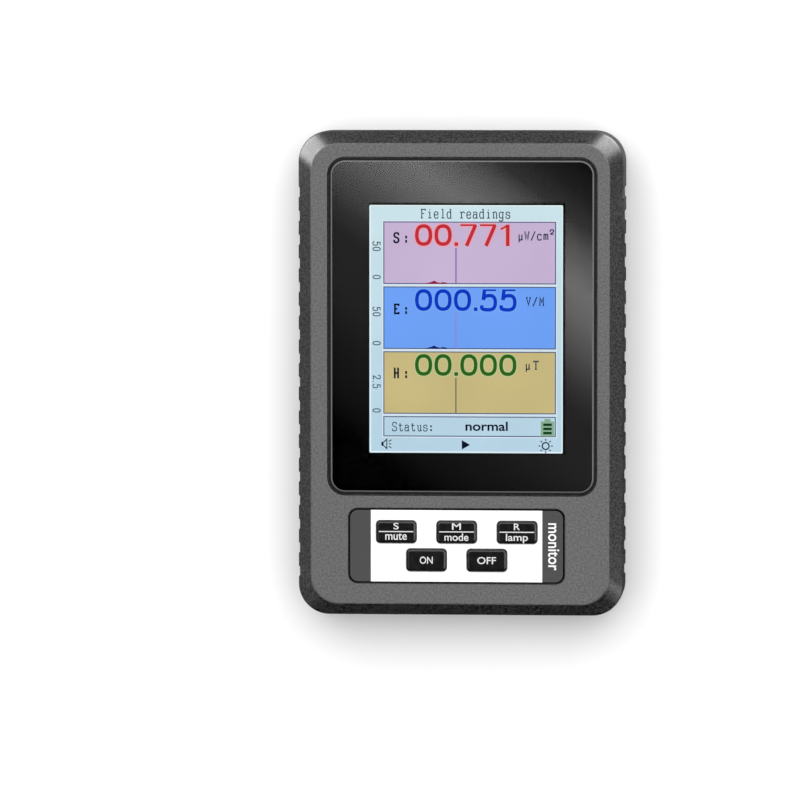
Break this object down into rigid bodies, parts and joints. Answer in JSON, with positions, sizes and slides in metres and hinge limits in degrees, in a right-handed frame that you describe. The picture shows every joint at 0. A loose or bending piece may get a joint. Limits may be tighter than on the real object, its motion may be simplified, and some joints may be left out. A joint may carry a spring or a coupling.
{
  "type": "geiger counter",
  "caption": "Handheld geiger counter with field-strength display: slim bevelled grey case, large glossy window, grooved side grips, white keypad panel and black push keys.",
  "frame": {"origin": "centre of the flat back face, which rests on the surface", "axes": "+Z out of the display, +Y towards the top end, +X towards the display's right-hand side"},
  "size_m": [0.08, 0.119, 0.0218],
  "materials": {
    "case_front": "fine spark texture, even mid grey on the flat face and darker on the bevels",
    "case_rear": "fine spark texture, dark grey",
    "clear_lens": "clear polished acrylic with a bright bevelled rim",
    "window_black": "opaque black print seen through the lens",
    "black_tape": "black adhesive foam tape",
    "panel_white": "white and grey printed film, satin",
    "key_black": "glossy black with white print",
    "switch_plastic": "black moulded nylon",
    "tinned_steel": "bright tinned sheet steel",
    "spring_steel": "silver spring steel",
    "display_glass": "dark display glass",
    "display_film": "lit colour picture under a glossy film",
    "backlight_white": "white diffusing plastic",
    "bracket_black": "black moulded plastic",
    "polyimide": "amber flexible circuit film",
    "cream_nylon": "cream moulded nylon",
    "board_green": "green solder mask with tinned pads",
    "chip_black": "black epoxy packages",
    "passive_tan": "tan ceramic chips",
    "ferrite": "dark grey sintered ferrite",
    "copper_wire": "enamelled copper wire",
    "capacitor_blue": "blue dipped epoxy",
    "brass_strip": "tinned brass strip",
    "tube_glass": "clear thin glass",
    "tube_metal": "grey stainless sheet",
    "foil_pouch": "silver laminated foil",
    "red_insulation": "red wire insulation",
    "black_insulation": "black wire insulation",
    "black_moulding": "black moulded resin",
    "mesh_cloth": "fine black acoustic cloth",
    "black_screw": "black zinc-plated steel",
    "label_silver": "satin silver film label, blank"
  },
  "bodies": {
    "case": {"front_shell": "case_front", "rear_shell": "case_rear", "window_lens": "clear_lens", "window_mask": "window_black", "lens_tape": "black_tape", "keypad_panel": "panel_white", "switch_mute": "switch_plastic", "switch_play": "switch_plastic", "switch_light": "switch_plastic", "switch_on": "switch_plastic", "switch_off": "switch_plastic", "switch_covers": "tinned_steel", "switch_domes": "spring_steel", "lcd_glass": "display_glass", "lcd_polarizer": "display_film", "lcd_backlight": "backlight_white", "lcd_frame": "tinned_steel", "lcd_bracket": "bracket_black", "lcd_flex": "polyimide", "lcd_connector": "cream_nylon", "main_board": "board_green", "controller_chip": "chip_black", "board_chips": "chip_black", "board_passives": "passive_tan", "hv_core": "ferrite", "hv_winding": "copper_wire", "hv_capacitors": "capacitor_blue", "coil_core": "ferrite", "coil_winding": "copper_wire", "field_plate": "brass_strip", "tube_glass": "tube_glass", "tube_cathode": "tube_metal", "tube_anode": "tube_metal", "tube_caps": "tinned_steel", "tube_clips": "brass_strip", "battery_pouch": "foil_pouch", "battery_tape": "black_tape", "lead_red": "red_insulation", "lead_black": "black_insulation", "battery_plug": "cream_nylon", "battery_socket": "cream_nylon", "usb_shell": "tinned_steel", "usb_tongue": "black_moulding", "buzzer_case": "black_moulding", "buzzer_disc": "brass_strip", "sound_mesh": "mesh_cloth", "case_screws": "black_screw", "board_screws": "tinned_steel", "rear_label": "label_silver"},
    "mute_key": {"key_mute": "key_black", "plunger_mute": "switch_plastic"},
    "play_key": {"key_play": "key_black", "plunger_play": "switch_plastic"},
    "light_key": {"key_light": "key_black", "plunger_light": "switch_plastic"},
    "on_key": {"key_on": "key_black", "plunger_on": "switch_plastic"},
    "off_key": {"key_off": "key_black", "plunger_off": "switch_plastic"}
  },
  "joints": [
    {"name": "mute_press", "type": "slide", "parent": "case", "child": "mute_key", "axis": [0, 0, -1], "range_m": [0, 0.0005], "stiffness_N_per_m": 1200, "springref_m": -0.0008},
    {"name": "play_press", "type": "slide", "parent": "case", "child": "play_key", "axis": [0, 0, -1], "range_m": [0, 0.0005], "stiffness_N_per_m": 1200, "springref_m": -0.0008},
    {"name": "light_press", "type": "slide", "parent": "case", "child": "light_key", "axis": [0, 0, -1], "range_m": [0, 0.0005], "stiffness_N_per_m": 1200, "springref_m": -0.0008},
    {"name": "on_press", "type": "slide", "parent": "case", "child": "on_key", "axis": [0, 0, -1], "range_m": [0, 0.0005], "stiffness_N_per_m": 1200, "springref_m": -0.0008},
    {"name": "off_press", "type": "slide", "parent": "case", "child": "off_key", "axis": [0, 0, -1], "range_m": [0, 0.0005], "stiffness_N_per_m": 1200, "springref_m": -0.0008}
  ]
}
